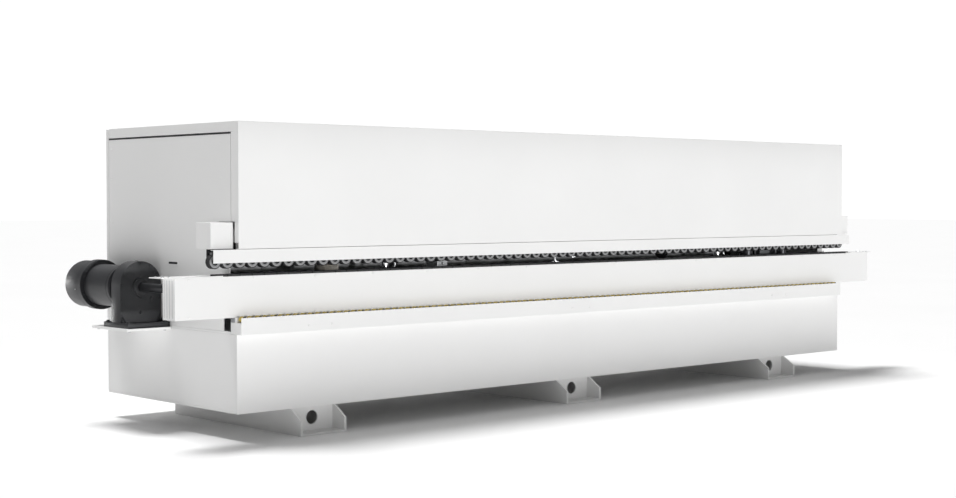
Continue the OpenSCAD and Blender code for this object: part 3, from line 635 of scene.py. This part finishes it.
mb = MB()   # unit beam tie rods, manifold and scraper details
for x in (600, 2200, 3200, 4400):
    mb.box((x - 70, x + 70), (554, 560), (890, 1010), ALU, 2)
    for s in (-50, 50):
        for z in (905, 995):
            mb.screw("y", (x + s, 554, z), 7, 5, STEEL, -1)
for x in (1520,):
    mb.box((x - 46, x + 46), (200, 226), (950, 1030), GREY, 3)
    mb.lathe("y", (x, 0, 915), [(84, 4), (90, 9)], STEEL, n=20)
mb.make("unit_fittings", "root")

# ---------------------------------------------------------------- floor, light, camera
me = bpy.data.meshes.new("floor")
bmf = bmesh.new()
bmesh.ops.create_grid(bmf, x_segments=4, y_segments=4, size=90)
bmf.to_mesh(me); bmf.free()
floor = bpy.data.objects.new("floor", me)
bpy.context.scene.collection.objects.link(floor)
floor.location = (0, 0, 0)
fm = finish_mat("floor_pale", (0.95, 0.95, 0.95), 0.7, var=0.004, vscale=.5, fine=40, bump=0.002, bdist=0.0002, spec=0.15)
me.materials.append(fm)

w = bpy.data.worlds.new("studio")
bpy.context.scene.world = w
w.use_nodes = True
wn, wl = w.node_tree.nodes, w.node_tree.links
bg = wn["Background"]
bg.inputs["Color"].default_value = (1, 1, 1, 1)
bg.inputs["Strength"].default_value = 0.185
bg2 = wn.new("ShaderNodeBackground"); bg2.inputs["Color"].default_value = (1, 1, 1, 1); bg2.inputs["Strength"].default_value = 1.05
lp = wn.new("ShaderNodeLightPath")
mixs = wn.new("ShaderNodeMixShader")
wl.new(lp.outputs["Is Camera Ray"], mixs.inputs[0]); wl.new(bg.outputs[0], mixs.inputs[1]); wl.new(bg2.outputs[0], mixs.inputs[2])
wl.new(mixs.outputs[0], wn["World Output"].inputs["Surface"])


def sun(name, direction, strength, angle):
    l = bpy.data.lights.new(name, "SUN")
    l.energy, l.angle = strength, math.radians(angle)
    o = bpy.data.objects.new(name, l)
    o.rotation_euler = Vector(direction).to_track_quat("-Z", "Y").to_euler()
    bpy.context.scene.collection.objects.link(o)
    return o


def panel_light(name, loc, direction, size, power, spread):
    l = bpy.data.lights.new(name, "AREA")
    l.shape, l.size, l.size_y, l.energy, l.spread = "RECTANGLE", size[0], size[1], power, math.radians(spread)
    o = bpy.data.objects.new(name, l)
    o.rotation_euler = Vector(direction).to_track_quat("-Z", "Y").to_euler()
    o.location = loc
    o.visible_camera = False
    bpy.context.scene.collection.objects.link(o)
    return o


sun("key", (0.06, -0.34, -1.0), 3.0, 20)
panel_light("front_panel", (0, -14, 1.0), (0, 1, 0), (14, 1.7), 29, 4)
panel_light("rear_panel", (0, 14, 1.0), (0, -1, 0), (14, 1.7), 16, 8)

cam = bpy.data.cameras.new("cam")
cam.lens, cam.sensor_width, cam.sensor_fit = 60.02, 36, "HORIZONTAL"
cam.clip_start, cam.clip_end = 0.1, 300
co = bpy.data.objects.new("camera", cam)
bpy.context.scene.collection.objects.link(co)
fwd = Vector((0.67384, 0.73826, -0.03019)).normalized()
right = Vector((0.73860, -0.67415, 0.0)).normalized()
up = right.cross(fwd).normalized()
m4 = Matrix(((right.x, up.x, -fwd.x, -7.5172), (right.y, up.y, -fwd.y, -7.8311), (right.z, up.z, -fwd.z, 1.2908), (0, 0, 0, 1)))
co.matrix_world = m4
bpy.context.scene.camera = co
vs = bpy.context.scene.view_settings
vs.view_transform, vs.look, vs.exposure, vs.gamma = "Standard", "None", 0.0, 1.0
